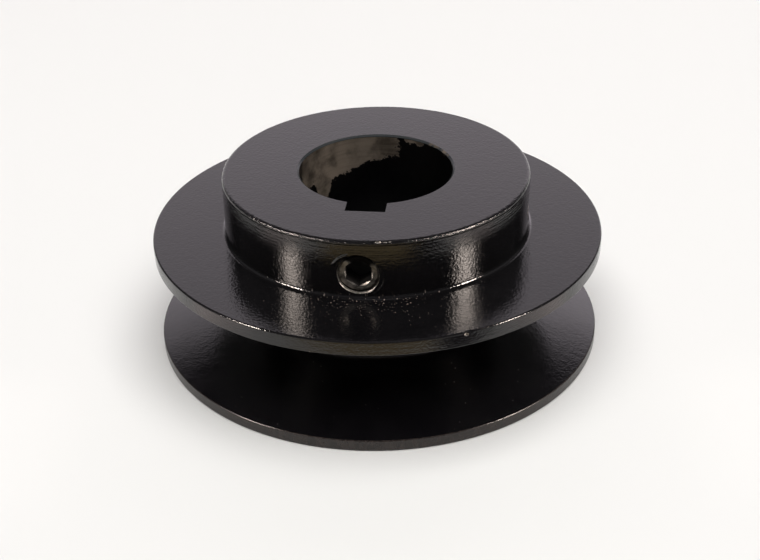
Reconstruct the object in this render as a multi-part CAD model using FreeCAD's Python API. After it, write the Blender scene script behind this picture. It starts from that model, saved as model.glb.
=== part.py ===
import FreeCAD, Part

import math
import os

# V-belt pulley with one groove: a turned body with a keyed bore and two set screws.
#
# Frame, millimetres: +Z runs along the bore from the flat back face to the end of the hub.
# The origin is the centre of the back face. The keyway and its set screw face -Y, and
# the second set screw faces +X, a quarter turn round the hub.

INCH = 25.4
V = FreeCAD.Vector

# Turned body
RIM_DIAMETER = 2.95 * INCH
RIM_WIDTH = 25 / 32 * INCH
HUB_DIAMETER = 2.0 * INCH
HUB_PROJECTION = 25 / 64 * INCH
RIM_EDGE_BREAK = 0.3          # rounded outer corners of both rims
GROOVE_LIP_BREAK = 0.2        # rounded corners where the groove meets the rims
HUB_EDGE_BREAK = 0.62         # rounded corner round the hub's end face
HUB_BASE_FILLET = 0.7         # fillet between the hub and the upper rim's face

# Groove for A and B section belts
GROOVE_TOP_WIDTH = 0.612 * INCH
GROOVE_DEPTH = 0.612 * INCH
GROOVE_ANGLE = 34.0           # degrees between the two flanks
GROOVE_ROOT_FILLET = 0.8
HUB_SIDE_RIM = 3 / 32 * INCH  # width of the rim's outer land on the hub's side

# Bore and keyway
BORE_DIAMETER = 1.0 * INCH
BORE_CHAMFER = 0.3
KEY_WIDTH = 0.25 * INCH
KEYWAY_FLOOR = 15.60          # from the bore's axis to the keyway's floor
KEY_TOP = 15.47               # from the bore's axis to the top of a fitted key

# 5/16-18 UNC set screws and their tapped holes. Each thread is drawn as a plain
# cylinder at its pitch diameter, less or plus half of the running clearance.
THREAD_PITCH = INCH / 18
THREAD_PITCH_DIAMETER = 0.2764 * INCH
THREAD_CLEARANCE = 0.05       # radial, between a screw and its hole
SCREW_LENGTH = 5 / 16 * INCH
SCREW_HEIGHT = RIM_WIDTH + 4.2
KEY_SCREW_TURNS_OUT = 1       # turns from the key's top to the key screw as it stands
SIDE_SCREW_TURNS_OUT = 2      # turns from the bore's wall to the side screw as it stands
SCREW_CHAMFER = 0.45
SOCKET_ACROSS_FLATS = 5 / 32 * INCH
SOCKET_DEPTH = 3.4
SOCKET_DRILL_TIP = 0.9        # depth of the cone under the socket
CUP_DIAMETER = 4.2
CUP_DEPTH = 1.1

# Sizes worked out from those above
RIM_RADIUS = RIM_DIAMETER / 2
HUB_RADIUS = HUB_DIAMETER / 2
BORE_RADIUS = BORE_DIAMETER / 2
TOTAL_LENGTH = RIM_WIDTH + HUB_PROJECTION
FLANK_RISE = math.tan(math.radians(GROOVE_ANGLE / 2))
GROOVE_ROOT_RADIUS = RIM_RADIUS - GROOVE_DEPTH
KEY_SCREW_START = KEY_TOP + KEY_SCREW_TURNS_OUT * THREAD_PITCH
SIDE_SCREW_START = BORE_RADIUS + SIDE_SCREW_TURNS_OUT * THREAD_PITCH
HOLE_RADIUS = THREAD_PITCH_DIAMETER / 2 + THREAD_CLEARANCE / 2
SCREW_RADIUS = THREAD_PITCH_DIAMETER / 2 - THREAD_CLEARANCE / 2


def rounded_outline(corners):
    """Closed wire in the XZ plane through (radius, height, corner radius) points."""
    count = len(corners)
    points = [V(radius, 0, height) for radius, height, _ in corners]
    starts = []
    ends = []
    arcs = []
    for i, (_, _, corner_radius) in enumerate(corners):
        corner = points[i]
        to_last = (points[i - 1] - corner).normalize()
        to_next = (points[(i + 1) % count] - corner).normalize()
        if corner_radius == 0:
            starts.append(corner)
            ends.append(corner)
            arcs.append(None)
            continue
        half_angle = to_last.getAngle(to_next) / 2
        setback = corner_radius / math.tan(half_angle)
        bisector = (to_last + to_next).normalize()
        centre = corner + bisector * (corner_radius / math.sin(half_angle))
        start = corner + to_last * setback
        end = corner + to_next * setback
        middle = centre - bisector * corner_radius
        starts.append(start)
        ends.append(end)
        arcs.append(Part.Arc(start, middle, end).toShape())
    edges = []
    for i in range(count):
        if arcs[i] is not None:
            edges.append(arcs[i])
        edges.append(Part.LineSegment(ends[i], starts[(i + 1) % count]).toShape())
    return Part.Wire(edges)


def revolved(corners):
    """Solid turned from an outline, about the Z axis."""
    face = Part.Face(rounded_outline(corners))
    return face.revolve(V(0, 0, 0), V(0, 0, 1), 360)


def radial_placement(direction_deg, start_radius):
    """Put local +Z along a radius at the set screws' height, with local Z = 0 at start_radius."""
    angle = math.radians(direction_deg)
    outward = V(math.cos(angle), math.sin(angle), 0)
    base = outward * start_radius + V(0, 0, SCREW_HEIGHT)
    turn = FreeCAD.Rotation(V(-math.sin(angle), math.cos(angle), 0), 90)
    return FreeCAD.Placement(base, turn)


def tapped_hole(direction_deg):
    """Plug that cuts one tapped hole, from inside the bore to outside the hub."""
    plug = Part.makeCylinder(HOLE_RADIUS, HUB_RADIUS)
    plug.Placement = radial_placement(direction_deg, BORE_RADIUS * 0.75)
    return plug


def pulley():
    """The one-piece body: hub, web and both rims, with the groove, bore and keyway."""
    groove_top = RIM_WIDTH - HUB_SIDE_RIM
    groove_bottom = groove_top - GROOVE_TOP_WIDTH
    root_top = groove_top - GROOVE_DEPTH * FLANK_RISE
    root_bottom = groove_bottom + GROOVE_DEPTH * FLANK_RISE
    mouth_radius = BORE_RADIUS + BORE_CHAMFER
    body = revolved([
        (mouth_radius, 0, 0),
        (RIM_RADIUS, 0, RIM_EDGE_BREAK),
        (RIM_RADIUS, groove_bottom, GROOVE_LIP_BREAK),
        (GROOVE_ROOT_RADIUS, root_bottom, GROOVE_ROOT_FILLET),
        (GROOVE_ROOT_RADIUS, root_top, GROOVE_ROOT_FILLET),
        (RIM_RADIUS, groove_top, GROOVE_LIP_BREAK),
        (RIM_RADIUS, RIM_WIDTH, RIM_EDGE_BREAK),
        (HUB_RADIUS, RIM_WIDTH, HUB_BASE_FILLET),
        (HUB_RADIUS, TOTAL_LENGTH, HUB_EDGE_BREAK),
        (mouth_radius, TOTAL_LENGTH, 0),
        (BORE_RADIUS, TOTAL_LENGTH - BORE_CHAMFER, 0),
        (BORE_RADIUS, BORE_CHAMFER, 0),
    ])
    keyway = Part.makeBox(KEY_WIDTH, KEYWAY_FLOOR, TOTAL_LENGTH, V(-KEY_WIDTH / 2, -KEYWAY_FLOOR, 0))
    return body.cut([keyway, tapped_hole(-90), tapped_hole(0)])


def set_screw(direction_deg, start_radius):
    """Cup-point socket set screw that runs out along a radius, from its cup end at start_radius."""
    end_radius = SCREW_RADIUS - SCREW_CHAMFER
    cup_radius = CUP_DIAMETER / 2
    screw = revolved([
        (0, CUP_DEPTH, 0),
        (cup_radius, 0, 0),
        (end_radius, 0, 0),
        (SCREW_RADIUS, SCREW_CHAMFER, 0),
        (SCREW_RADIUS, SCREW_LENGTH - SCREW_CHAMFER, 0),
        (end_radius, SCREW_LENGTH, 0),
        (0, SCREW_LENGTH, 0),
    ])
    corner_radius = SOCKET_ACROSS_FLATS / 2 / math.cos(math.pi / 6)
    floor = SCREW_LENGTH - SOCKET_DEPTH
    corners = []
    for i in range(7):
        angle = math.pi / 3 * i + math.pi / 6
        corners.append(V(corner_radius * math.cos(angle), corner_radius * math.sin(angle), floor))
    socket = Part.Face(Part.makePolygon(corners)).extrude(V(0, 0, SOCKET_DEPTH))
    drill_tip = Part.makeCone(0, SOCKET_ACROSS_FLATS / 2, SOCKET_DRILL_TIP, V(0, 0, floor - SOCKET_DRILL_TIP))
    screw = screw.cut([socket, drill_tip])
    screw.Placement = radial_placement(direction_deg, start_radius)
    return screw


NODES = {
    "pulley": pulley(),
    "key_set_screw": set_screw(-90, KEY_SCREW_START),
    "side_set_screw": set_screw(0, SIDE_SCREW_START),
}

os.makedirs("parts", exist_ok=True)
for name, shape in NODES.items():
    solid = shape.Solids[0]
    assert len(shape.Solids) == 1 and solid.isValid(), name
    solid.exportStep("parts/" + name + ".step")
    box = solid.BoundBox
    print(name, round(solid.Volume, 1), "mm3", round(box.XLength, 3), round(box.YLength, 3), round(box.ZLength, 3))
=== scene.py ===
import math

import bmesh
import bpy
import numpy as np
from mathutils import Matrix, Vector


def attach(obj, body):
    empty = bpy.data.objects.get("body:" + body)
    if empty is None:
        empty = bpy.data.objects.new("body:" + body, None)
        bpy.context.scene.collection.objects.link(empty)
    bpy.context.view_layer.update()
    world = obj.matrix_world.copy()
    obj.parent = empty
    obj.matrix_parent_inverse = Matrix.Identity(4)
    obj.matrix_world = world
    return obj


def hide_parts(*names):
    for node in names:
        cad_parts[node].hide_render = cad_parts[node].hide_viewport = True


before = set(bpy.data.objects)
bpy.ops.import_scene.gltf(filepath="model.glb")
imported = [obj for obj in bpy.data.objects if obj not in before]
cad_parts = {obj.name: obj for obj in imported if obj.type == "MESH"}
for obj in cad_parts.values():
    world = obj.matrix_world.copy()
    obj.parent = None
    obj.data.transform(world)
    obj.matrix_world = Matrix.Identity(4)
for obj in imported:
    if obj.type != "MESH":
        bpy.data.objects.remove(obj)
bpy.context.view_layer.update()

MM = 0.001

# ---------------------------------------------------------------- dimensions, as in the CAD (mm)
INCH = 25.4
RIM_RADIUS = 2.95 * INCH / 2
RIM_WIDTH = 25 / 32 * INCH
HUB_RADIUS = INCH
TOTAL_LENGTH = RIM_WIDTH + 25 / 64 * INCH
RIM_EDGE_BREAK = 0.3
GROOVE_LIP_BREAK = 0.2
HUB_EDGE_BREAK = 0.62
HUB_BASE_FILLET = 0.7
GROOVE_TOP_WIDTH = 0.612 * INCH
GROOVE_DEPTH = 0.612 * INCH
GROOVE_ANGLE = 34.0
GROOVE_ROOT_FILLET = 0.8
HUB_SIDE_RIM = 3 / 32 * INCH
BORE_RADIUS = INCH / 2
BORE_CHAMFER = 0.3
KEY_WIDTH = INCH / 4
KEYWAY_FLOOR = 15.60
KEY_TOP = 15.47
THREAD_PITCH = INCH / 18
THREAD_PITCH_RADIUS = 0.2764 * INCH / 2
THREAD_CLEARANCE = 0.05
SCREW_LENGTH = 5 / 16 * INCH
SCREW_HEIGHT = RIM_WIDTH + 4.2
SOCKET_ACROSS_FLATS = 5 / 32 * INCH
SOCKET_DEPTH = 3.4
SOCKET_DRILL_TIP = 0.9
CUP_RADIUS = 2.1
CUP_DEPTH = 1.1
KEY_SCREW_START = KEY_TOP + THREAD_PITCH
SIDE_SCREW_START = BORE_RADIUS + 2 * THREAD_PITCH

GROOVE_TOP = RIM_WIDTH - HUB_SIDE_RIM
GROOVE_BOTTOM = GROOVE_TOP - GROOVE_TOP_WIDTH
FLANK_RISE = math.tan(math.radians(GROOVE_ANGLE / 2))
ROOT_RADIUS = RIM_RADIUS - GROOVE_DEPTH

SQUARE = ((-1, -1), (1, -1), (1, 1), (-1, 1))


# ---------------------------------------------------------------- small helpers
def stage_link(obj):
    bpy.context.scene.collection.objects.link(obj)
    return obj


def set_material_index(mesh, index):
    mesh.polygons.foreach_set("material_index", [index] * len(mesh.polygons))


def mesh_object(name, verts, faces, material_index=0):
    mesh = bpy.data.meshes.new(name)
    mesh.from_pydata([tuple(v) for v in verts], [], faces)
    mesh.validate()
    set_material_index(mesh, material_index)
    mesh.update()
    return stage_link(bpy.data.objects.new(name, mesh))


def outward(obj):
    """Make every face of a closed mesh point outward."""
    bm = bmesh.new()
    bm.from_mesh(obj.data)
    bmesh.ops.recalc_face_normals(bm, faces=bm.faces)
    bm.to_mesh(obj.data)
    bm.free()


def carve(obj, cutter, operation="DIFFERENCE"):
    """Cut a mesh by another, or keep what they share, and delete the cutter."""
    mod = obj.modifiers.new(operation, "BOOLEAN")
    mod.operation = operation
    mod.solver = "EXACT"
    mod.object = cutter
    bpy.context.view_layer.update()
    cut = bpy.data.meshes.new_from_object(obj.evaluated_get(bpy.context.evaluated_depsgraph_get()))
    obj.modifiers.clear()
    old = obj.data
    obj.data = cut
    cut.name = obj.name
    bpy.data.meshes.remove(old)
    old = cutter.data
    bpy.data.objects.remove(cutter)
    bpy.data.meshes.remove(old)


# ---------------------------------------------------------------- the turned outline
def outline_elements(corners):
    """Lines and arcs of a closed outline of (radius, height, corner radius), counterclockwise."""
    pts = [np.array(c[:2], float) for c in corners]
    n = len(pts)
    starts, ends, arcs = [], [], []
    for i in range(n):
        p, r = pts[i], corners[i][2]
        a = pts[i - 1] - p
        b = pts[(i + 1) % n] - p
        a /= np.linalg.norm(a)
        b /= np.linalg.norm(b)
        if r == 0:
            starts.append(p)
            ends.append(p)
            arcs.append(None)
            continue
        half = math.acos(float(np.clip(a @ b, -1, 1))) / 2
        setback = r / math.tan(half)
        mid = (a + b) / np.linalg.norm(a + b)
        centre = p + mid * (r / math.sin(half))
        starts.append(p + a * setback)
        ends.append(p + b * setback)
        turn = -a[0] * b[1] + a[1] * b[0]
        arcs.append(("arc", centre, r, starts[-1], ends[-1], 1.0 if turn > 0 else -1.0))
    out = []
    for i in range(n):
        if arcs[i] is not None:
            out.append(arcs[i])
        out.append(("line", ends[i], starts[(i + 1) % n]))
    return out


def element_points(el, arc_steps):
    """The element's points without its last one."""
    if el[0] == "line":
        return [el[1]]
    _, centre, r, start, end, _ = el
    a0 = math.atan2(*(start - centre)[::-1])
    a1 = math.atan2(*(end - centre)[::-1])
    sweep = (a1 - a0 + math.pi) % (2 * math.pi) - math.pi
    return [
        centre + r * np.array([math.cos(a0 + sweep * k / arc_steps), math.sin(a0 + sweep * k / arc_steps)])
        for k in range(arc_steps)
    ]


def element_distance(el, rz):
    """Distance of each (radius, height) point from the element."""
    if el[0] == "line":
        d = el[2] - el[1]
        length = np.linalg.norm(d)
        d = d / length
        t = np.clip((rz - el[1]) @ d, 0, length)
        return np.linalg.norm(rz - el[1] - t[:, None] * d, axis=1)
    _, centre, r, start, end, _ = el
    q = rz - centre
    dist = np.abs(np.linalg.norm(q, axis=1) - r)
    middle = (start + end) / 2 - centre
    half = np.arccos(np.clip((start - centre) @ middle / (r * np.linalg.norm(middle)), -1, 1))
    lengths = np.linalg.norm(q, axis=1) * np.linalg.norm(middle)
    angle = np.arccos(np.clip(q @ middle / (lengths + 1e-12), -1, 1))
    return dist + np.where(angle > half + 0.02, 10.0, 0.0)


def element_normal(el, rz):
    """Outward (radial, axial) normal at each point."""
    if el[0] == "line":
        d = (el[2] - el[1]) / np.linalg.norm(el[2] - el[1])
        return np.tile([d[1], -d[0]], (len(rz), 1))
    q = (rz - el[1]) * el[5]
    return q / np.linalg.norm(q, axis=1)[:, None]


def lathe(name, corners, segments, arc_steps, slots=None):
    """Closed ring solid turned about Z from an outline. slots gives an element's material slot."""
    elements = outline_elements(corners)
    points, owner = [], []
    for k, el in enumerate(elements):
        for p in element_points(el, arc_steps):
            points.append(p)
            owner.append(k)
    m = len(points)
    verts = []
    for i in range(segments):
        a = 2 * math.pi * i / segments
        c, s = math.cos(a), math.sin(a)
        verts += [(p[0] * c * MM, p[0] * s * MM, p[1] * MM) for p in points]
    faces, mats = [], []
    for i in range(segments):
        i2 = (i + 1) % segments
        for j in range(m):
            j2 = (j + 1) % m
            faces.append((i * m + j, i2 * m + j, i2 * m + j2, i * m + j2))
            mats.append(slots(elements[owner[j]]) if slots else 0)
    obj = mesh_object(name, verts, faces)
    obj.data.polygons.foreach_set("material_index", mats)
    outward(obj)
    return obj, elements


# ---------------------------------------------------------------- threads
def hole_frame(direction_deg):
    """Matrix from (across, up, along the radius) to the row frame at the set screws' height."""
    angle = math.radians(direction_deg)
    w = Vector((math.cos(angle), math.sin(angle), 0))
    v = Vector((0, 0, 1))
    u = v.cross(w)
    m = Matrix((u, v, w)).transposed().to_4x4()
    m.translation = Vector((0, 0, SCREW_HEIGHT * MM))
    return m


def thread_solid(name, pitch_radius, root, crest, phase, start, turns, steps=96, taper=None):
    """Closed right-hand threaded bar along local Z with 60 degree ridges. A ridge crosses angle 0
    at z = phase, give or take whole pitches. taper(z) scales the ridge's height."""
    tan30 = math.tan(math.radians(30))
    half_crest = THREAD_PITCH / 4 - (crest - pitch_radius) * tan30
    half_root = THREAD_PITCH / 4 + (pitch_radius - root) * tan30
    shape = [(-half_root, root), (-half_crest, crest), (half_crest, crest), (half_root, root)]
    m = len(shape)
    rows = [(k * THREAD_PITCH + x, r) for k in range(turns) for x, r in shape]
    n = len(rows)
    first = start + (phase - start) % THREAD_PITCH
    verts = []
    for i in range(steps):
        a = 2 * math.pi * i / steps
        for x, r in rows:
            z = first + x + THREAD_PITCH * i / steps
            if taper is not None:
                r = root + (r - root) * taper(z)
            verts.append((r * math.cos(a) * MM, r * math.sin(a) * MM, z * MM))
    faces = []
    for i in range(steps):
        for j in range(n - 1):
            if i < steps - 1:
                faces.append((i * n + j, (i + 1) * n + j, (i + 1) * n + j + 1, i * n + j + 1))
            elif j + m + 1 < n:
                faces.append((i * n + j, j + m, j + m + 1, i * n + j + 1))
    low = [i * n for i in range(steps)] + list(range(m, 0, -1))
    last = (steps - 1) * n
    high = [i * n + n - 1 for i in range(steps)] + [last + j for j in range(n - 2, n - 2 - m, -1)]
    verts.append((0, 0, (first - THREAD_PITCH) * MM))
    verts.append((0, 0, (first + (turns + 1) * THREAD_PITCH) * MM))
    for loop, centre in ((low, len(verts) - 2), (high, len(verts) - 1)):
        for a, b in zip(loop, loop[1:] + loop[:1]):
            faces.append((centre, a, b))
    obj = mesh_object(name, verts, faces)
    outward(obj)
    return obj


def hex_prism(name, across_flats, z0, z1, tip):
    """Hexagonal plug from z0 to z1, with a shallow cone of depth tip under it, in mm."""
    radius = across_flats / 2 / math.cos(math.pi / 6)
    angles = [math.pi / 3 * i + math.pi / 6 for i in range(6)]
    rim = [(radius * math.cos(a), radius * math.sin(a)) for a in angles]
    verts = [(x * MM, y * MM, z * MM) for z in (z0, z1) for x, y in rim] + [(0, 0, (z0 - tip) * MM)]
    faces = [tuple(range(6, 12))]
    for i in range(6):
        j = (i + 1) % 6
        faces.append((i, j, j + 6, i + 6))
        faces.append((12, j, i))
    obj = mesh_object(name, verts, faces)
    outward(obj)
    return obj


def cone_plug(name, rings, steps=96):
    """Closed solid turned about local Z through (radius, z) rings, in mm."""
    angles = [2 * math.pi * i / steps for i in range(steps)]
    verts = [(0, 0, rings[0][1] * MM)]
    for r, z in rings:
        verts += [(r * math.cos(a) * MM, r * math.sin(a) * MM, z * MM) for a in angles]
    verts.append((0, 0, rings[-1][1] * MM))
    last_ring = 1 + (len(rings) - 1) * steps
    faces = []
    for i in range(steps):
        j = (i + 1) % steps
        faces.append((0, 1 + j, 1 + i))
        for k in range(len(rings) - 1):
            a, b = 1 + k * steps, 1 + (k + 1) * steps
            faces.append((a + i, a + j, b + j, b + i))
        faces.append((len(verts) - 1, last_ring + i, last_ring + j))
    obj = mesh_object(name, verts, faces)
    outward(obj)
    return obj


def lump(name, place, size, turn, seed, material_index):
    """Small irregular closed lump for chips in the paint, sized in mm."""
    rng = np.random.default_rng(seed)
    bm = bmesh.new()
    bmesh.ops.create_icosphere(bm, subdivisions=2, radius=1.0)
    for v in bm.verts:
        v.co *= 1.0 + rng.uniform(-0.22, 0.18)
        v.co = Vector((v.co.x * size[0], v.co.y * size[1], v.co.z * size[2])) * MM
    bm.transform(Matrix.Rotation(turn, 4, "Z"))
    bm.transform(Matrix.Translation(Vector(place) * MM))
    verts = [v.co.copy() for v in bm.verts]
    faces = [[v.index for v in f.verts] for f in bm.faces]
    bm.free()
    obj = mesh_object(name, verts, faces, material_index)
    outward(obj)
    return obj


def smooth_with_turned_normals(obj, elements, turned_slots, sharp_angle):
    """Smooth shading. Turned faces get the exact normals of the outline they were turned from."""
    mesh = obj.data
    mesh.polygons.foreach_set("use_smooth", [True] * len(mesh.polygons))
    mesh.set_sharp_from_angle(angle=math.radians(sharp_angle))
    count = len(mesh.loops)
    normals = np.empty(count * 3)
    mesh.corner_normals.foreach_get("vector", normals)
    normals = normals.reshape(-1, 3)
    co = np.empty(len(mesh.vertices) * 3)
    mesh.vertices.foreach_get("co", co)
    co = co.reshape(-1, 3) / MM
    loop_vert = np.empty(count, int)
    mesh.loops.foreach_get("vertex_index", loop_vert)
    poly_count = len(mesh.polygons)
    mats = np.empty(poly_count, int)
    mesh.polygons.foreach_get("material_index", mats)
    starts = np.empty(poly_count, int)
    mesh.polygons.foreach_get("loop_start", starts)
    totals = np.empty(poly_count, int)
    mesh.polygons.foreach_get("loop_total", totals)
    loop_poly = np.repeat(np.arange(poly_count), totals)
    assert (np.diff(starts) == totals[:-1]).all()
    rz = np.stack([np.hypot(co[:, 0], co[:, 1]), co[:, 2]], 1)
    loop_rz = rz[loop_vert]
    # each face's element is the one that its corners lie nearest to on average
    dist = np.stack([np.add.reduceat(element_distance(el, loop_rz), starts) / totals for el in elements], 1)
    nearest = dist.argmin(1)
    turned = np.isin(mats, turned_slots)
    for k, el in enumerate(elements):
        pick = (turned & (nearest == k))[loop_poly]
        n = element_normal(el, loop_rz[pick])
        v = co[loop_vert[pick]]
        r = np.hypot(v[:, 0], v[:, 1])
        normals[pick] = np.stack([n[:, 0] * v[:, 0] / r, n[:, 0] * v[:, 1] / r, n[:, 1]], 1)
    mesh.normals_split_custom_set(normals)


# ---------------------------------------------------------------- procedural materials
def is_number(value):
    """True for a plain number, or a socket that carries one."""
    if isinstance(value, bpy.types.NodeSocket):
        return value.type == "VALUE"
    return not hasattr(value, "__len__")


class Nodes:
    """Short calls for building a node tree. Any value may be a number or an output socket."""

    def __init__(self, name):
        self.mat = bpy.data.materials.new(name)
        self.mat.use_nodes = True
        self.tree = self.mat.node_tree
        self.tree.nodes.clear()
        self.coords = self.tree.nodes.new("ShaderNodeTexCoord").outputs["Object"]

    def new(self, kind, **props):
        node = self.tree.nodes.new(kind)
        for key, value in props.items():
            setattr(node, key, value)
        return node

    def put(self, socket, value):
        if isinstance(value, bpy.types.NodeSocket):
            self.tree.links.new(value, socket)
        elif hasattr(socket.default_value, "__len__") and not hasattr(value, "__len__"):
            socket.default_value = [value] * len(socket.default_value)
        elif hasattr(value, "__len__") and len(value) == 3 and len(socket.default_value) == 4:
            socket.default_value = (*value, 1.0)
        else:
            socket.default_value = value

    def math(self, op, *values):
        node = self.new("ShaderNodeMath", operation=op)
        for k, value in enumerate(values):
            self.put(node.inputs[k], value)
        return node.outputs[0]

    def vmath(self, op, *values):
        node = self.new("ShaderNodeVectorMath", operation=op)
        for k, value in enumerate(values):
            self.put(node.inputs[k], value)
        return node.outputs[0]

    def add(self, a, b):
        return self.math("ADD", a, b)

    def sub(self, a, b):
        return self.math("SUBTRACT", a, b)

    def mul(self, a, b):
        return self.math("MULTIPLY", a, b)

    def ramp(self, value, low, high, to_low=0.0, to_high=1.0, smooth=True):
        node = self.new("ShaderNodeMapRange", interpolation_type="SMOOTHSTEP" if smooth else "LINEAR")
        for k, v in enumerate((value, low, high, to_low, to_high)):
            self.put(node.inputs[k], v)
        return node.outputs[0]

    def mix(self, factor, a, b):
        """Blend two colours, or two numbers when both are numbers or number sockets."""
        numbers = is_number(a) and is_number(b)
        node = self.new("ShaderNodeMix", data_type="FLOAT" if numbers else "RGBA")
        socket_a = 2 if numbers else 6
        for k, v in ((0, factor), (socket_a, a), (socket_a + 1, b)):
            self.put(node.inputs[k], v)
        return node.outputs[0] if numbers else node.outputs[2]

    def scaled(self, sx, sy, sz):
        """Object coordinates times these, in 1/mm."""
        return self.vmath("MULTIPLY", self.coords, (sx * 1000, sy * 1000, sz * 1000))

    def noise(self, sx, sy, sz, detail=2.0, rough=0.5):
        """Noise with this many cells per mm along each axis."""
        node = self.new("ShaderNodeTexNoise")
        self.put(node.inputs["Vector"], self.scaled(sx, sy, sz))
        self.put(node.inputs["Scale"], 1.0)
        self.put(node.inputs["Detail"], detail)
        self.put(node.inputs["Roughness"], rough)
        return node.outputs[0]

    def voronoi(self, sx, sy, sz):
        """Voronoi cells, this many per mm along each axis."""
        node = self.new("ShaderNodeTexVoronoi", feature="F1")
        self.put(node.inputs["Vector"], self.scaled(sx, sy, sz))
        self.put(node.inputs["Scale"], 1.0)
        return node

    def split(self, vector=None):
        node = self.new("ShaderNodeSeparateXYZ")
        self.put(node.inputs[0], vector if vector is not None else self.coords)
        return node.outputs

    def bump(self, height, distance, normal=None):
        """height is 0 to 1 and stands for this many mm."""
        node = self.new("ShaderNodeBump")
        self.put(node.inputs["Height"], height)
        self.put(node.inputs["Distance"], distance * MM)
        self.put(node.inputs["Strength"], 1.0)
        if normal is not None:
            self.put(node.inputs["Normal"], normal)
        return node.outputs[0]

    def principled(self, **values):
        node = self.new("ShaderNodeBsdfPrincipled")
        for key, value in values.items():
            self.put(node.inputs[key.replace("_", " ")], value)
        out = self.new("ShaderNodeOutputMaterial")
        self.tree.links.new(node.outputs[0], out.inputs[0])


def absolute(n, value):
    return n.math("ABSOLUTE", value)


def hypotenuse(n, a, b):
    return n.math("SQRT", n.add(n.mul(a, a), n.mul(b, b)))


def generated(n):
    """Coordinates over the object's own box, from 0 to 1."""
    return n.split(n.new("ShaderNodeTexCoord").outputs["Generated"])


def cylinder_coords(n):
    """Sockets for the radius and height in mm, and the azimuth in radians: 0 faces -Y, + towards +X."""
    x, y, z = n.split()[:]
    r = n.mul(hypotenuse(n, x, y), 1000.0)
    azimuth = n.math("ARCTAN2", x, n.mul(y, -1.0))
    return r, n.mul(z, 1000.0), azimuth


def orange_peel(n, fine, broad):
    """Normal of sprayed gloss paint: cells about 0.35 mm across over a slower waviness, heights in mm."""
    cells = n.noise(2.9, 2.9, 2.9, detail=1.5)
    waves = n.noise(1.0, 1.0, 1.0, detail=1.0)
    return n.bump(waves, broad, normal=n.bump(cells, fine))


def dust_grains(n, r, z, az):
    """Mask and colour of the dust in the corner at the hub's base, thickest on the keyway's side."""
    front = n.ramp(absolute(n, n.sub(az, 0.03)), 0.66, 0.06)
    masks = []
    for cells, reach, low, high in ((2.4, 29.2, 0.08, 0.33), (3.4, 34.5, 0.10, 0.30)):
        grains = n.voronoi(cells, cells, 0.0)
        luck, width = n.split(grains.outputs["Color"])[:2]
        lies_here = n.ramp(n.sub(n.mul(front, n.ramp(r, reach, 25.5, 0.0, 0.62)), luck), 0.0, 0.02)
        size = n.mul(n.ramp(width, 0.0, 1.0, low, high, smooth=False), lies_here)
        masks.append(n.ramp(n.sub(grains.outputs["Distance"], size), 0.0, -0.07))
    on_flange = n.ramp(z, RIM_WIDTH + 0.9, RIM_WIDTH + 0.6)
    grain = n.mul(n.math("MAXIMUM", masks[0], n.mul(masks[1], 0.4)), on_flange)
    return grain, n.mix(n.mul(width, width), (0.06, 0.045, 0.038), (0.46, 0.35, 0.29))


def paint_face():
    """Gloss black on the flat turned faces: orange peel, faint mottling, dust by the hub."""
    n = Nodes("paint_face")
    r, z, az = cylinder_coords(n)
    broad = n.noise(0.22, 0.22, 0.22, detail=2)
    normal = orange_peel(n, 0.034, 0.012)
    grain, tone = dust_grains(n, r, z, az)
    normal = n.bump(grain, 0.10, normal=normal)
    speckle = n.ramp(n.noise(3.2, 3.2, 3.2, detail=1), 0.35, 0.65)
    black = n.mix(n.mul(n.add(broad, speckle), 0.5), (0.0024, 0.0023, 0.0027), (0.0058, 0.0053, 0.0058))
    colour = n.mix(grain, black, tone)
    rough = n.add(n.ramp(broad, 0.3, 0.7, 0.07, 0.11), n.mul(grain, 0.5))
    n.principled(Base_Color=colour, Roughness=rough, Normal=normal, IOR=1.5)
    return n.mat


def ring_arc(n, rho, angle, radius, half_width, centre_deg, end_deg, full_deg, strength=1.0):
    """Height of a raised arc round a hole. It is full up to full_deg from its centre and ends at end_deg."""
    across = n.ramp(absolute(n, n.sub(rho, radius)), half_width, 0.0)
    off_centre = absolute(n, n.sub(angle, math.radians(centre_deg)))
    return n.mul(across, n.ramp(off_centre, math.radians(end_deg), math.radians(full_deg), 0.0, strength))


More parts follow.
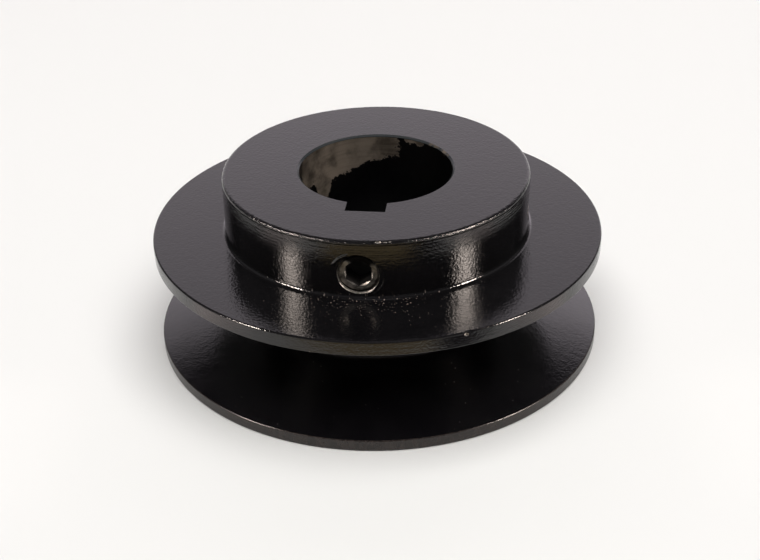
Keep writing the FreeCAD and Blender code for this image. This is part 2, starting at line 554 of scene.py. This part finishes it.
def paint_turned():
    """Gloss black over the turned hub side and rim lands: fine circumferential tool lines."""
    n = Nodes("paint_turned")
    r, z, az = cylinder_coords(n)
    lines = n.noise(0.05, 0.05, 3.9, detail=3, rough=0.6)
    coarse = n.ramp(z, RIM_WIDTH + 5.0, RIM_WIDTH + 7.5, 0.25, 1.0)
    land = n.ramp(r, 30.0, 31.0, 0.0, 0.7)
    amount = n.math("MAXIMUM", coarse, land)
    normal = orange_peel(n, 0.036, 0.014)
    normal = n.bump(n.mul(lines, amount), 0.038, normal=normal)
    # ragged paint along the edge of the hub's end face
    edge = n.ramp(z, TOTAL_LENGTH - 0.75, TOTAL_LENGTH - 0.35)
    normal = n.bump(n.mul(edge, n.noise(2.0, 2.0, 2.0, detail=3, rough=0.7)), 0.12, normal=normal)
    # the ring that the tap raised round the key screw's hole, softened by the paint
    x, y, _ = n.split()[:]
    dx = n.mul(x, 1000.0)
    dz = n.sub(z, SCREW_HEIGHT)
    rho = hypotenuse(n, dx, dz)
    round_hole = n.math("ARCTAN2", dz, dx)
    raised = n.ramp(round_hole, math.radians(114), math.radians(160), 3.60, 4.10, smooth=False)
    upper_left = ring_arc(n, rho, round_hole, raised, 0.42, 136, 27, 17)
    lower_right = ring_arc(n, rho, round_hole, 4.02, 0.16, -34, 27, 14, 0.7)
    ring = n.mul(n.add(upper_left, lower_right), n.ramp(y, -0.020, -0.021))
    normal = n.bump(ring, 0.09, normal=normal)
    broad = n.noise(0.22, 0.22, 0.22, detail=2)
    black = n.mix(broad, (0.0042, 0.0038, 0.0042), (0.0060, 0.0054, 0.0058))
    # the lower rim's outer land, below the groove, is duller and browner
    below_groove = n.ramp(z, GROOVE_BOTTOM + 0.3, GROOVE_BOTTOM)
    brown_mottle = n.ramp(n.noise(1.1, 1.1, 0.5, detail=3, rough=0.6), 0.3, 0.7)
    brown = n.mix(brown_mottle, (0.013, 0.009, 0.0075), (0.028, 0.0195, 0.0165))
    grain, tone = dust_grains(n, r, z, az)
    rough = n.add(n.ramp(broad, 0.3, 0.7, 0.07, 0.11), n.add(n.mul(below_groove, 0.16), n.mul(grain, 0.5)))
    normal = n.bump(grain, 0.10, normal=normal)
    colour = n.mix(grain, n.mix(below_groove, black, brown), tone)
    n.principled(Base_Color=colour, Roughness=rough, Normal=normal, IOR=1.5)
    return n.mat


def paint_groove():
    """Black on the groove's flanks: slightly rougher, with fine specks of dust."""
    n = Nodes("paint_groove")
    dust = n.voronoi(1.5, 1.5, 1.5)
    size = n.ramp(n.split(dust.outputs["Color"])[0], 0.86, 1.0, 0.0, 0.16, smooth=False)
    speck = n.ramp(n.sub(dust.outputs["Distance"], size), 0.0, -0.06)
    normal = orange_peel(n, 0.028, 0.02)
    broad = n.noise(0.2, 0.2, 0.2, detail=3)
    black = n.mix(broad, (0.0026, 0.0023, 0.0030), (0.0050, 0.0044, 0.0052))
    colour = n.mix(speck, black, (0.05, 0.042, 0.036))
    rough = n.add(n.ramp(broad, 0.3, 0.7, 0.13, 0.20), n.mul(speck, 0.4))
    n.principled(Base_Color=colour, Roughness=rough, Normal=normal, IOR=1.5)
    return n.mat


def bore_metal():
    """Bare turned iron in the bore, with a ragged edge of black overspray."""
    n = Nodes("bore_iron")
    x, y, z = n.split()[:]
    z = n.mul(z, 1000.0)
    psi = n.mul(n.math("ARCTAN2", n.mul(x, -1.0), y), 180 / math.pi)  # 0 faces +Y, + towards -X
    ragged = n.sub(n.noise(0.95, 0.95, 0.95, detail=5, rough=0.68), 0.5)
    low = n.sub(26.0, n.mul(n.add(psi, 10.0), 0.066))
    low = n.sub(low, n.mul(n.ramp(psi, 43.0, 49.0), 2.4))
    low = n.add(low, n.mul(n.ramp(psi, 54.0, 66.0), 5.0))
    above = n.add(n.sub(z, low), n.mul(ragged, 4.2))
    left = n.add(n.mul(n.sub(psi, -11.0), 0.22), n.mul(ragged, 4.2))
    right = n.add(n.mul(n.sub(84.0, psi), 0.22), n.mul(ragged, 4.2))
    inside = n.math("MINIMUM", n.math("MINIMUM", above, left), right)
    # the mouth's chamfer is painted, apart from worn spots behind
    painted_mouth = n.ramp(z, TOTAL_LENGTH - BORE_CHAMFER - 0.10, TOTAL_LENGTH - BORE_CHAMFER + 0.02)
    rim = n.add(n.sub(z, TOTAL_LENGTH - 0.15), n.mul(ragged, 4.5))
    rim = n.sub(rim, n.ramp(absolute(n, n.add(psi, 52.0)), 10.0, 26.0, 0.0, 3.0))
    worn = n.add(n.sub(z, TOTAL_LENGTH - 0.95), n.mul(ragged, 3.0))
    worn = n.sub(worn, n.ramp(absolute(n, n.add(psi, 25.0)), 7.0, 14.0, 0.0, 3.0))
    rim = n.math("MAXIMUM", rim, n.sub(worn, n.mul(painted_mouth, 16.0)))
    inside = n.sub(inside, n.mul(painted_mouth, 16.0))
    bare = n.ramp(n.math("MAXIMUM", inside, rim), -0.10, 0.14)
    flecks = n.ramp(n.noise(0.7, 0.7, 0.7, detail=3, rough=0.6), 0.715, 0.745)
    bare = n.math("MAXIMUM", bare, flecks)
    streaks = n.noise(0.12, 0.12, 2.6, detail=3, rough=0.6)
    blotch = n.noise(0.35, 0.35, 0.35, detail=4, rough=0.6)
    # the bare iron is lighter round psi 30, at the back left of the bore
    lighter_back_left = n.ramp(absolute(n, n.sub(psi, 30.0)), 34.0, 6.0, 0.0, 0.14)
    iron = n.mix(n.ramp(n.add(blotch, lighter_back_left), 0.36, 0.70), (0.068, 0.055, 0.042), (0.185, 0.155, 0.124))
    iron = n.mix(n.mul(n.ramp(streaks, 0.35, 0.7), 0.6), iron, (0.13, 0.11, 0.09))
    # the chamfer's paint gets a grey-teal colour, a painted sheen that lightens its thin line; the overspray
    # lower down is black
    overspray_and_painted_light = n.mix(painted_mouth, (0.0009, 0.0008, 0.0012), (0.030, 0.034, 0.036))
    colour = n.mix(bare, overspray_and_painted_light, iron)
    height = n.add(n.mul(streaks, 0.4), n.mul(n.sub(1.0, bare), 0.6))
    normal = n.bump(n.noise(2.4, 2.4, 2.4, detail=2), 0.02)
    normal = n.bump(height, 0.05, normal=normal)
    n.principled(
        Base_Color=colour,
        Metallic=n.mul(bare, 0.3),
        Roughness=n.mix(bare, 0.30, n.ramp(blotch, 0.3, 0.7, 0.42, 0.6)),
        Normal=normal,
        IOR=1.28,
    )
    return n.mat


def painted_shade_arc(n, centre_deg, half_deg, feather_deg, wobble):
    """1 over an arc round the key screw's hole, measured from its centre, and 0 elsewhere. It marks painted
    shade on the upper side, under the hole's lip.
    """
    x, _, z = n.split()[:]
    angle = n.math("ARCTAN2", n.sub(z, SCREW_HEIGHT * MM), x)
    ragged = n.mul(n.sub(n.noise(0.9, 0.9, 0.9, detail=4, rough=0.6), 0.5), math.radians(wobble))
    from_centre = n.add(n.sub(angle, math.radians(centre_deg)), ragged)
    off = absolute(n, n.math("WRAP", from_centre, math.pi, -math.pi))
    return n.ramp(off, math.radians(half_deg + feather_deg), math.radians(half_deg - feather_deg))


def thread_paint():
    """Tapped holes: bare tapped iron, with painted shade over the upper side of the key hole's threads."""
    n = Nodes("tapped_iron")
    x, y, z = n.split()[:]
    across = n.math("MINIMUM", absolute(n, x), absolute(n, y))
    rise = n.sub(z, SCREW_HEIGHT * MM)
    rho = n.mul(hypotenuse(n, across, rise), 1000.0)
    outer = n.ramp(rho, 3.31, 3.35)
    # painted shade darkens the key hole's upper side under its lip; past 3.33 mm from the hole's axis the
    # iron is painted black
    painted = n.math("MAXIMUM", painted_shade_arc(n, 81, 62, 7, 40), outer)
    wear = n.noise(1.6, 1.6, 1.6, detail=4, rough=0.6)
    bare = n.mul(n.sub(1.0, painted), n.ramp(wear, 0.30, 0.42, 0.35, 1.0))
    grain = n.noise(3.0, 3.0, 3.0, detail=3)
    iron = n.mix(n.ramp(grain, 0.3, 0.7), (0.13, 0.12, 0.107), (0.36, 0.34, 0.31))
    colour = n.mix(bare, (0.0016, 0.0014, 0.0018), iron)
    rough = n.mix(bare, 0.22, n.ramp(wear, 0.3, 0.7, 0.34, 0.5))
    n.principled(
        Base_Color=colour,
        Metallic=n.mul(bare, 0.55),
        Roughness=rough,
        Normal=n.bump(grain, 0.03),
        IOR=1.4,
    )
    return n.mat


def chip_iron():
    """Bright broken iron where the paint is chipped."""
    n = Nodes("chip_iron")
    grain = n.noise(3.5, 3.5, 3.5, detail=3)
    colour = n.mix(n.ramp(grain, 0.45, 0.6), (0.05, 0.045, 0.04), (0.46, 0.43, 0.40))
    n.principled(
        Base_Color=colour,
        Metallic=0.7,
        Roughness=n.ramp(grain, 0.3, 0.7, 0.3, 0.5),
        Normal=n.bump(grain, 0.03),
        IOR=1.5,
    )
    return n.mat


def screw_steel():
    """Oiled alloy steel: turning marks, worn lighter, with painted shade, near black, on the key screw's
    upper side under the hole's lip.
    """
    n = Nodes("oiled_steel")
    fine = n.noise(4.0, 4.0, 4.0, detail=3)
    blotch = n.noise(1.1, 1.1, 1.1, detail=3, rough=0.6)
    # painted shade: the key screw's upper side goes near black where the hole's lip shades it
    overspray_and_painted_light = painted_shade_arc(n, 84, 48, 8, 40)
    steel = n.mix(n.ramp(blotch, 0.3, 0.7), (0.085, 0.08, 0.074), (0.31, 0.295, 0.27))
    n.principled(
        Base_Color=n.mix(overspray_and_painted_light, steel, (0.0010, 0.0009, 0.0013)),
        Metallic=n.mul(n.sub(1.0, overspray_and_painted_light), 0.9),
        Roughness=n.add(n.ramp(blotch, 0.3, 0.7, 0.25, 0.34), n.mul(n.add(fine, overspray_and_painted_light), 0.07)),
        Normal=n.bump(fine, 0.025),
        IOR=1.15,
    )
    return n.mat


def socket_oxide_and_shade():
    """Black oxide and old oil inside the hex socket, almost without shine, made darker still as painted
    shade in the deep socket.
    """
    n = Nodes("socket_oxide_and_shade")
    grime = n.noise(1.6, 1.6, 1.6, detail=3, rough=0.6)
    n.principled(
        Base_Color=n.mix(grime, (0.004, 0.0035, 0.004), (0.016, 0.014, 0.013)),
        Roughness=n.ramp(grime, 0.3, 0.7, 0.5, 0.7),
        Normal=n.bump(grime, 0.03),
        IOR=1.35,
    )
    return n.mat


# ---------------------------------------------------------------- the camera
VIEW_TURN = 6.8                     # degrees from -Y round to +X, where the camera stands
CAMERA_DOWN = 30.70                 # degrees that it looks down
CAMERA_ROLL = 1.22
CAMERA_PLACE = (24.34, -201.70, 128.77)
LENS = 64.70                        # mm, on a sensor 36 mm wide


def make_camera():
    data = bpy.data.cameras.new("camera")
    data.sensor_fit = "HORIZONTAL"
    data.sensor_width = 36.0
    data.lens = LENS
    data.clip_start = 0.01
    cam = stage_link(bpy.data.objects.new("camera", data))
    down, turn, roll = math.radians(CAMERA_DOWN), math.radians(VIEW_TURN), math.radians(CAMERA_ROLL)
    right = Vector((math.cos(turn), math.sin(turn), 0))
    back = Vector((math.sin(turn) * math.cos(down), -math.cos(turn) * math.cos(down), math.sin(down)))
    up = back.cross(right)
    rolled_right = right * math.cos(roll) - up * math.sin(roll)
    rolled_up = right * math.sin(roll) + up * math.cos(roll)
    m = Matrix((rolled_right, rolled_up, back)).transposed().to_4x4()
    m.translation = Vector(CAMERA_PLACE) * MM
    cam.matrix_world = m
    bpy.context.scene.camera = cam


# ---------------------------------------------------------------- stage and light
FLOOR_HALF = 1.1                    # metres, like the distances and heights below
OVERHEAD_POWER = 31.0               # watts
SOFTBOX_COLOUR = (1.0, 0.87, 0.78)
WALL_GLOW = 0.20                    # radiance
WALL_SPAN = 128.0                   # degrees to each side of the front
WALL_DISTANCE = 2.0
WALL_FOOT, WALL_TOP = 0.3, 2.6
CEILING_GLOW = 0.6
CEILING_DISTANCE = 3.0
CEILING_ELEVATION = 78.0            # degrees, of its edge
BACKDROP_DISTANCE = 1.3
BACKDROP_SPAN = 43.0                # degrees to each side of the back
BACKDROP_ELEVATION = 56.0           # degrees, of its top edge
AIM_HEIGHT = 0.02                   # of the point that the lights face
ROOM_DIM, ROOM_PALE = 0.04, 1.0     # the world's strength for light, and for what the camera sees


def direction(azimuth, elevation):
    """Unit vector, from degrees. Azimuth 0 points to the camera's side, and + to the picture's right."""
    a, e = math.radians(azimuth + VIEW_TURN), math.radians(elevation)
    return Vector((math.sin(a) * math.cos(e), -math.cos(a) * math.cos(e), math.sin(e)))


def emission_material(name, colour, strength):
    n = Nodes(name)
    node = n.new("ShaderNodeEmission")
    n.put(node.inputs[0], colour)
    n.put(node.inputs[1], strength)
    out = n.new("ShaderNodeOutputMaterial")
    n.tree.links.new(node.outputs[0], out.inputs[0])
    return n, node, out


def card(name, verts, material, glossy_only=False, faces=None):
    """Surface of the studio that the camera itself doesn't see."""
    obj = mesh_object(name, verts, faces or [tuple(range(len(verts)))])
    obj.data.materials.append(material)
    obj.visible_camera = False
    if glossy_only:
        obj.visible_diffuse = False
        obj.visible_shadow = False
        obj.visible_transmission = False
        obj.visible_volume_scatter = False
    return obj


def curved_wall(middle, span, distance, foot, top, steps):
    """Corners and faces of an upright strip of a cylinder round the object."""
    points = [direction(middle - span + 2 * span * i / steps, 0) * distance for i in range(steps + 1)]
    verts = [tuple(p + Vector((0, 0, z))) for z in (foot, top) for p in points]
    return verts, [(i, i + 1, i + steps + 2, i + steps + 1) for i in range(steps)]


def softbox(name, azimuth, elevation, distance, width, height, radiance, colour):
    """Rectangular light that faces the object. Sizes in metres, radiance in W/m2/sr."""
    data = bpy.data.lights.new(name, "AREA")
    data.shape = "RECTANGLE"
    data.size = width
    data.size_y = height
    data.color = colour
    data.energy = radiance * math.pi * width * height
    obj = stage_link(bpy.data.objects.new(name, data))
    d = direction(azimuth, elevation)
    side = Vector((0, 0, 1)).cross(d).normalized()
    m = Matrix((side, d.cross(side), d)).transposed().to_4x4()
    m.translation = d * distance + Vector((0, 0, AIM_HEIGHT))
    obj.matrix_world = m
    obj.visible_camera = False
    return obj


def bench_card(name, at, size, fade, colour, far_strength=1.0, bright_depth=1.0):
    """Flat glowing patch on the floor that only gloss reflects, with soft edges, in mm. Away from the
    object it darkens to far_strength past bright_depth, as a share of its depth."""
    n, node, out = emission_material(name, colour, 1.0)
    u, v = generated(n)[:2]
    away = n.sub(1.0, v)
    n.put(node.inputs[1], n.ramp(away, bright_depth, bright_depth * 1.8, 1.0, far_strength))
    clear = n.new("ShaderNodeBsdfTransparent")
    mixer = n.new("ShaderNodeMixShader")
    sides = [
        n.ramp(absolute(n, n.sub(c, 0.5)), 0.5, 0.5 - fade / (2 * half))
        for c, half in ((u, size[0]), (v, size[1]))
    ]
    n.put(mixer.inputs[0], n.mul(*sides))
    n.tree.links.new(clear.outputs[0], mixer.inputs[1])
    n.tree.links.new(node.outputs[0], mixer.inputs[2])
    n.tree.links.new(mixer.outputs[0], out.inputs[0])
    verts = [((at[0] + sx * size[0]) * MM, (at[1] + sy * size[1]) * MM, at[2] * MM) for sx, sy in SQUARE]
    obj = card(name, verts, n.mat, glossy_only=True)
    obj.rotation_euler = (0, 0, math.radians(VIEW_TURN))
    return obj


def room_glow():
    """Dim walls and ceiling, seen by gloss only, so that the paint isn't plain black from other sides."""
    n, node, _ = emission_material("wall_glow", (1.0, 0.96, 1.0), 1.0)
    height = generated(n)[2]
    n.put(node.inputs[1], n.ramp(absolute(n, n.sub(height, 0.5)), 0.5, 0.3, 0.0, WALL_GLOW))
    steps = 40
    verts, faces = curved_wall(0, WALL_SPAN, WALL_DISTANCE, WALL_FOOT, WALL_TOP, steps)
    card("wall_glow", verts, n.mat, True, faces)
    n, _, _ = emission_material("ceiling_glow", (1.0, 0.97, 1.0), CEILING_GLOW)
    edge = [direction(360 / steps * i, CEILING_ELEVATION) * CEILING_DISTANCE for i in range(steps)]
    card("ceiling_glow", [tuple(p) for p in edge], n.mat, True)


def make_backdrop():
    """Curved card behind the object that its flat faces reflect. It fades out at its top and sides."""
    n, node, _ = emission_material("backdrop_glow", (1.0, 0.915, 0.985), 1.0)
    x, y, z = n.split()[:]
    turn = math.radians(VIEW_TURN)
    across = n.mul(n.add(n.mul(x, math.cos(turn)), n.mul(y, math.sin(turn))), 1 / BACKDROP_DISTANCE)
    off_centre = absolute(n, across)
    elevation = n.mul(n.math("ARCTAN2", z, BACKDROP_DISTANCE), 180 / math.pi)
    right = n.ramp(across, 0.30, 0.50)
    sides = n.ramp(off_centre, 0.20, 0.50)
    level = n.add(elevation, n.mul(sides, n.sub(9.0, n.mul(right, 3.5))))
    fade = n.ramp(level, 37.5, 51.5, 1.0, 0.03)
    lift = n.ramp(elevation, 24.5, 32.0, 1.15, 0.98)
    ends = n.ramp(off_centre, math.sin(math.radians(33)), math.sin(math.radians(41)), 1.0, 0.06)
    gain = n.add(0.92, n.mul(right, 0.42))
    n.put(node.inputs[1], n.mul(n.mul(fade, lift), n.mul(ends, gain)))
    top = BACKDROP_DISTANCE * math.tan(math.radians(BACKDROP_ELEVATION))
    verts, faces = curved_wall(180, BACKDROP_SPAN, BACKDROP_DISTANCE, 0.0, top, 24)
    card("backdrop", verts, n.mat, faces=faces)


def make_world():
    """Dim room all round, pale where the camera itself sees past the floor."""
    world = bpy.data.worlds.new("studio")
    bpy.context.scene.world = world
    world.use_nodes = True
    tree = world.node_tree
    tree.nodes.clear()
    path = tree.nodes.new("ShaderNodeLightPath")
    mixer = tree.nodes.new("ShaderNodeMixShader")
    out = tree.nodes.new("ShaderNodeOutputWorld")
    tree.links.new(path.outputs["Is Camera Ray"], mixer.inputs[0])
    for k, colour, strength in ((1, (0.95, 0.95, 1.0, 1), ROOM_DIM), (2, (0.96, 0.96, 0.96, 1), ROOM_PALE)):
        background = tree.nodes.new("ShaderNodeBackground")
        background.inputs[0].default_value = colour
        background.inputs[1].default_value = strength
        tree.links.new(background.outputs[0], mixer.inputs[k])
    tree.links.new(mixer.outputs[0], out.inputs[0])


def make_stage():
    floor = mesh_object("floor", [(x * FLOOR_HALF, y * FLOOR_HALF, 0) for x, y in SQUARE], [(0, 1, 2, 3)])
    n = Nodes("floor_pale")
    tone = n.noise(0.004, 0.004, 0.004, detail=2)
    n.principled(Base_Color=n.mix(tone, (0.79, 0.79, 0.78), (0.81, 0.81, 0.80)), Roughness=0.85, IOR=1.4)
    floor.data.materials.append(n.mat)
    make_backdrop()
    for name, azimuth, radiance in (("softbox_left", -65.9, 82.0), ("softbox_right", 66.9, 102.0)):
        strip = softbox(name, azimuth, 25.5, 1.0, 0.15, 0.32, radiance, SOFTBOX_COLOUR)
        strip.visible_diffuse = False
    overhead = softbox("overhead", 20.0, 80.0, 1.4, 1.6, 1.6, 1.0, (1.0, 0.985, 0.965))
    overhead.data.energy = OVERHEAD_POWER
    overhead.visible_glossy = False
    # painted reflection of the bench just outside the picture, by glowing patches that only gloss sees:
    # brown in front, pale at the sides and grey behind
    bench_card("bench_front", (-3.0, -555.0, 0.6), (52.0, 500.0), 10.0, (0.70, 0.53, 0.27), 0.10, 0.06)
    bench_card("bench_dark", (34.0, -64.0, 0.9), (16.0, 18.0), 8.0, (0.04, 0.04, 0.045))
    for side in (-1, 1):
        bench_card("bench_side", (side * 76.0, -33.0, 0.7), (33.0, 23.0), 13.0, (1.50, 1.31, 1.26))
        bench_card("bench_behind", (side * 64.0, 26.0, 0.7), (17.0, 22.0), 12.0, (0.30, 0.30, 0.30))
    room_glow()
    make_world()
    bpy.context.scene.view_settings.view_transform = "Standard"


# ---------------------------------------------------------------- the pulley
SEGMENTS = 480
ARC_STEPS = 6
SHARP_ANGLE = 28                    # degrees between faces, above which an edge stays sharp
# the threads: radii from the hole's axis, and starts from the pulley's axis
TAP_MINOR, TAP_MAJOR = 3.265, 4.02
TAP_START, TAP_TURNS = 7.0, 14
TAP_FADE_START, TAP_FADE_LENGTH, TAP_FADE_DEPTH = 24.0, 0.9, 0.97
SCREW_MINOR, SCREW_MAJOR = 3.06, 3.93
MOUTH_RINGS = [(3.12, HUB_RADIUS - 0.36), (3.50, HUB_RADIUS + 0.02), (3.80, HUB_RADIUS + 0.32)]
PULLEY_OUTLINE = [
    (BORE_RADIUS + BORE_CHAMFER, 0, 0),
    (RIM_RADIUS, 0, RIM_EDGE_BREAK),
    (RIM_RADIUS, GROOVE_BOTTOM, GROOVE_LIP_BREAK),
    (ROOT_RADIUS, GROOVE_BOTTOM + GROOVE_DEPTH * FLANK_RISE, GROOVE_ROOT_FILLET),
    (ROOT_RADIUS, GROOVE_TOP - GROOVE_DEPTH * FLANK_RISE, GROOVE_ROOT_FILLET),
    (RIM_RADIUS, GROOVE_TOP, GROOVE_LIP_BREAK),
    (RIM_RADIUS, RIM_WIDTH, RIM_EDGE_BREAK),
    (HUB_RADIUS, RIM_WIDTH, HUB_BASE_FILLET),
    (HUB_RADIUS, TOTAL_LENGTH, HUB_EDGE_BREAK),
    (BORE_RADIUS + BORE_CHAMFER, TOTAL_LENGTH, 0),
    (BORE_RADIUS, TOTAL_LENGTH - BORE_CHAMFER, 0),
    (BORE_RADIUS, BORE_CHAMFER, 0),
]
FACE, TURNED, GROOVE, BORE, KEYWAY, THREAD, CHIP = range(7)

# chips in the paint and one nick in the rim: degrees from the camera's side, radius, height,
# radii across, inwards and up, seed, material
CHIPS = (
    (20.5, RIM_RADIUS + 0.05, RIM_WIDTH + 0.03, (0.92, 0.64, 0.58), 1, THREAD),
    (20.0, RIM_RADIUS - 0.10, RIM_WIDTH - 0.42, (0.42, 0.26, 0.30), 2, CHIP),
    (-15.6, RIM_RADIUS + 0.04, GROOVE_TOP + 0.05, (0.34, 0.16, 0.16), 3, CHIP),
    (0.3, HUB_RADIUS - 0.04, TOTAL_LENGTH - 0.02, (0.75, 0.34, 0.24), 4, CHIP),
    (2.4, HUB_RADIUS - 0.02, TOTAL_LENGTH - 0.06, (0.85, 0.30, 0.26), 5, CHIP),
    (4.6, HUB_RADIUS - 0.02, TOTAL_LENGTH - 0.03, (0.70, 0.32, 0.22), 6, CHIP),
)


def pulley_slot(el):
    """Material of the surface that an outline element turns into."""
    ends = (el[1], el[2]) if el[0] == "line" else (el[3], el[4])
    radii = [p[0] for p in ends]
    heights = [p[1] for p in ends]
    if max(radii) < BORE_RADIUS + BORE_CHAMFER + 0.01:
        return BORE
    if el[0] == "line" and abs(heights[0] - heights[1]) < 1e-6:
        return FACE
    inner = min(radii) < RIM_RADIUS - 0.25
    if inner and min(heights) > GROOVE_BOTTOM - 0.3 and max(heights) < GROOVE_TOP + 0.3:
        return GROOVE
    return TURNED


def thread_phase(surface_radius, angle_deg):
    """Phase that makes a groove's deepest line meet the hub's surface at this angle round the hole."""
    return surface_radius - THREAD_PITCH * angle_deg / 360


KEY_PHASE = thread_phase(25.2, 145.0)
SIDE_PHASE = thread_phase(25.2, 60.0)


def tap_fade(z):
    """Height of the hole's thread, as a share. It fades out just under the hub's surface."""
    return 1.0 - TAP_FADE_DEPTH * min(1.0, max(0.0, (z - TAP_FADE_START) / TAP_FADE_LENGTH))


def keyway_cutter():
    half = KEY_WIDTH / 2
    plan = ((-half, -KEYWAY_FLOOR), (half, -KEYWAY_FLOOR), (half, 0.0), (-half, 0.0))
    verts = [(x * MM, y * MM, z * MM) for z in (-2.0, TOTAL_LENGTH + 2.0) for x, y in plan]
    sides = [(i, (i + 1) % 4, (i + 1) % 4 + 4, i + 4) for i in range(4)]
    return mesh_object("keyway_cutter", verts, [(3, 2, 1, 0), (4, 5, 6, 7)] + sides, KEYWAY)


def make_pulley():
    body, elements = lathe("pulley_body", PULLEY_OUTLINE, SEGMENTS, ARC_STEPS, pulley_slot)
    materials = (
        paint_face, paint_turned, paint_groove, bore_metal, paint_turned, thread_paint, chip_iron
    )
    for material in materials:
        body.data.materials.append(material())
    carve(body, keyway_cutter())
    pitch_radius = THREAD_PITCH_RADIUS + THREAD_CLEARANCE / 2
    for angle, phase in ((-90, KEY_PHASE), (0, SIDE_PHASE)):
        tap = thread_solid(
            "tap", pitch_radius, TAP_MINOR, TAP_MAJOR, phase, TAP_START, TAP_TURNS, taper=tap_fade
        )
        for cutter in (tap, cone_plug("mouth", MOUTH_RINGS)):
            set_material_index(cutter.data, THREAD)
            cutter.data.transform(hole_frame(angle))
            carve(body, cutter)
    for azimuth, radius, height, size, seed, slot in CHIPS:
        a = math.radians(azimuth + VIEW_TURN)
        place = (radius * math.sin(a), -radius * math.cos(a), height)
        carve(body, lump("chip", place, size, a, seed, slot))
    smooth_with_turned_normals(body, elements, (FACE, TURNED, GROOVE, BORE), SHARP_ANGLE)
    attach(body, "pulley")
    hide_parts("pulley")


def make_screw(name, node, body_name, direction_deg, start, phase, steel, oxide_and_shade):
    """Threaded set screw with its cup end at radius start, made along local Z and then laid in its hole."""
    length = SCREW_LENGTH
    pitch_radius = THREAD_PITCH_RADIUS - THREAD_CLEARANCE / 2
    bar = thread_solid(name, pitch_radius, SCREW_MINOR, SCREW_MAJOR, phase - start, -3.0, 10)
    # the blank's ends slope, so that the thread runs out at both
    carve(bar, cone_plug("blank", [
        (CUP_RADIUS - 0.02, 0.0), (CUP_RADIUS + 0.12, 0.0), (3.95, 1.72), (3.99, 1.80),
        (3.99, length - 1.10), (3.94, length - 1.02), (2.98, length - 0.08), (2.86, length),
    ]), "INTERSECT")
    carve(bar, cone_plug("cup", [
        (CUP_RADIUS * 1.6, -CUP_DEPTH * 0.6), (CUP_RADIUS, 0.0), (CUP_RADIUS * 0.04, CUP_DEPTH),
    ]))
    bar.data.materials.clear()
    bar.data.materials.append(steel)
    bar.data.materials.append(oxide_and_shade)
    set_material_index(bar.data, 0)
    floor = length - SOCKET_DEPTH
    socket = hex_prism("socket", SOCKET_ACROSS_FLATS, floor, length + 1.0, SOCKET_DRILL_TIP)
    set_material_index(socket.data, 1)
    carve(bar, socket)
    carve(bar, cone_plug("lead", [(1.55, length - 0.45), (2.22, length), (3.0, length + 0.5)]))
    bar.data.transform(hole_frame(direction_deg) @ Matrix.Translation((0, 0, start * MM)))
    bar.data.polygons.foreach_set("use_smooth", [True] * len(bar.data.polygons))
    bar.data.set_sharp_from_angle(angle=math.radians(SHARP_ANGLE))
    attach(bar, body_name)
    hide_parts(node)


make_camera()
make_stage()
make_pulley()
screw_materials = screw_steel(), socket_oxide_and_shade()
for screw in (
    ("key_screw_threaded", "key_set_screw", "key_screw", -90, KEY_SCREW_START, KEY_PHASE),
    ("side_screw_threaded", "side_set_screw", "side_screw", 0, SIDE_SCREW_START, SIDE_PHASE),
):
    make_screw(*screw, *screw_materials)
